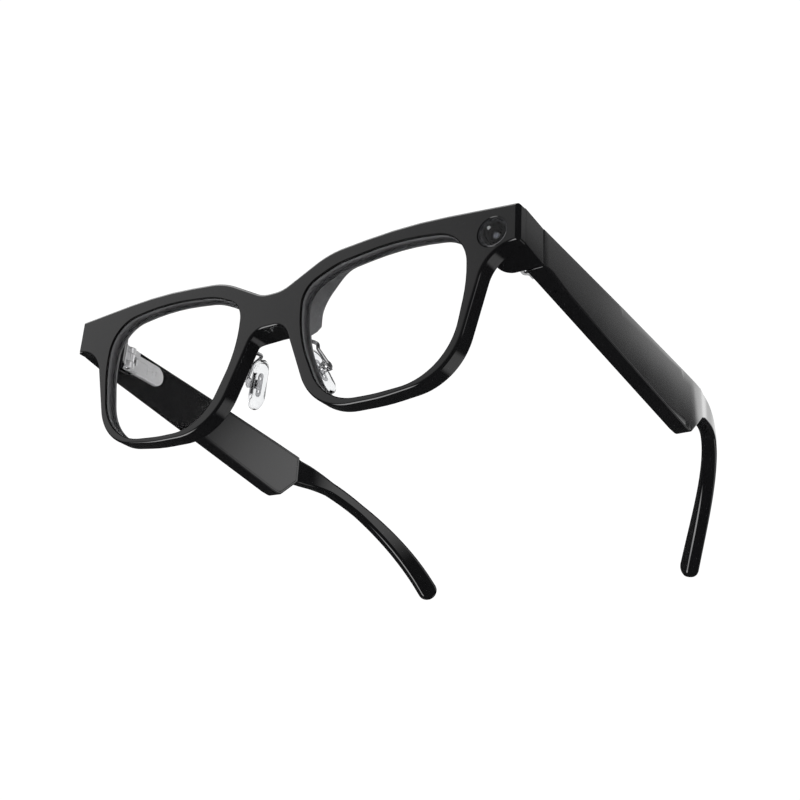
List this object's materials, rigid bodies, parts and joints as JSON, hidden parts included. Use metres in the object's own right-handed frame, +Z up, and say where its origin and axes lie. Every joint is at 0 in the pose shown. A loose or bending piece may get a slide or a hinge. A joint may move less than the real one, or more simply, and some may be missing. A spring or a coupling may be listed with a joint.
{
  "type": "smart glasses",
  "caption": "Smart glasses with a thick gloss frame, clear lenses, wire nose pads, a corner camera, and deep folding temples that hold electronics and end in slim ear tips.",
  "frame": {"origin": "On the resting plane, under the middle of the whole object's bounding box.", "axes": "+X is the wearer's left (camera side), -Y is the way the wearer looks, +Z is up. The object stands on both rims and both ear tips."},
  "size_m": [0.163, 0.1812, 0.0477],
  "materials": {
    "frame_gloss": "polished black",
    "lens_clear": "clear, coated",
    "module_dark": "fine matte",
    "ring_metal": "polished",
    "flex_amber": "smooth film",
    "board_green": "solder mask",
    "led_white": "frosted",
    "hinge_metal": "polished",
    "wire_metal": "polished",
    "silicone_clear": "clear soft",
    "battery_foil": "satin pouch",
    "contact_gold": "polished"
  },
  "bodies": {
    "front": {"front_shell": "frame_gloss", "rear_shell": "frame_gloss", "lens_left": "lens_clear", "lens_right": "lens_clear", "waveguide_left": "lens_clear", "waveguide_right": "lens_clear", "light_engine": "module_dark", "front_flex": "flex_amber", "camera_ring": "ring_metal", "camera_window": "lens_clear", "camera_barrel": "module_dark", "camera_board": "board_green", "recording_led": "led_white", "nose_arm_left": "wire_metal", "nose_arm_right": "wire_metal", "pad_box_left": "wire_metal", "pad_box_right": "wire_metal", "pad_screw_left": "wire_metal", "pad_screw_right": "wire_metal", "hinge_front_left": "hinge_metal", "hinge_front_right": "hinge_metal", "hinge_pin_left": "hinge_metal", "hinge_pin_right": "hinge_metal"},
    "temple_left": {"temple_shell_left": "frame_gloss", "inner_cover_left": "frame_gloss", "hinge_leaf_left": "hinge_metal", "ear_tip_left": "frame_gloss", "tip_core_left": "wire_metal", "battery_left": "battery_foil", "speaker_left": "module_dark", "speaker_grille_left": "module_dark", "microphone_left": "wire_metal", "sensor_board": "board_green", "charging_contacts": "contact_gold"},
    "temple_right": {"temple_shell_right": "frame_gloss", "inner_cover_right": "frame_gloss", "hinge_leaf_right": "hinge_metal", "ear_tip_right": "frame_gloss", "tip_core_right": "wire_metal", "battery_right": "battery_foil", "speaker_right": "module_dark", "speaker_grille_right": "module_dark", "microphone_right": "wire_metal", "main_board": "board_green", "touch_strip": "flex_amber", "button_switch": "wire_metal"},
    "pad_left": {"nose_pad_left": "silicone_clear", "pad_core_left": "wire_metal"},
    "pad_right": {"nose_pad_right": "silicone_clear", "pad_core_right": "wire_metal"},
    "button": {"capture_button": "module_dark"}
  },
  "joints": [
    {"name": "temple_left_fold", "type": "hinge", "parent": "front", "child": "temple_left", "pos_m": [0.0695, -0.0744, 0.03903], "axis": [0, -0.0209, 0.9998], "range_deg": [0, 80]},
    {"name": "temple_right_fold", "type": "hinge", "parent": "front", "child": "temple_right", "pos_m": [-0.0695, -0.0744, 0.03903], "axis": [0, 0.0209, -0.9998], "range_deg": [0, 92]},
    {"name": "nose_pad_left_rock", "type": "hinge", "parent": "front", "child": "pad_left", "pos_m": [0.01247, -0.07936, 0.01774], "axis": [0.0346, 0.9207, 0.3888], "range_deg": [-5, 5]},
    {"name": "nose_pad_right_rock", "type": "hinge", "parent": "front", "child": "pad_right", "pos_m": [-0.01247, -0.07936, 0.01774], "axis": [0.0346, -0.9207, -0.3888], "range_deg": [-5, 5]},
    {"name": "capture_button_press", "type": "slide", "parent": "temple_right", "child": "button", "axis": [0.0021, -0.017, -0.9999], "range_m": [0, 0.0004], "stiffness_N_per_m": 1500, "springref_m": -0.0004}
  ]
}
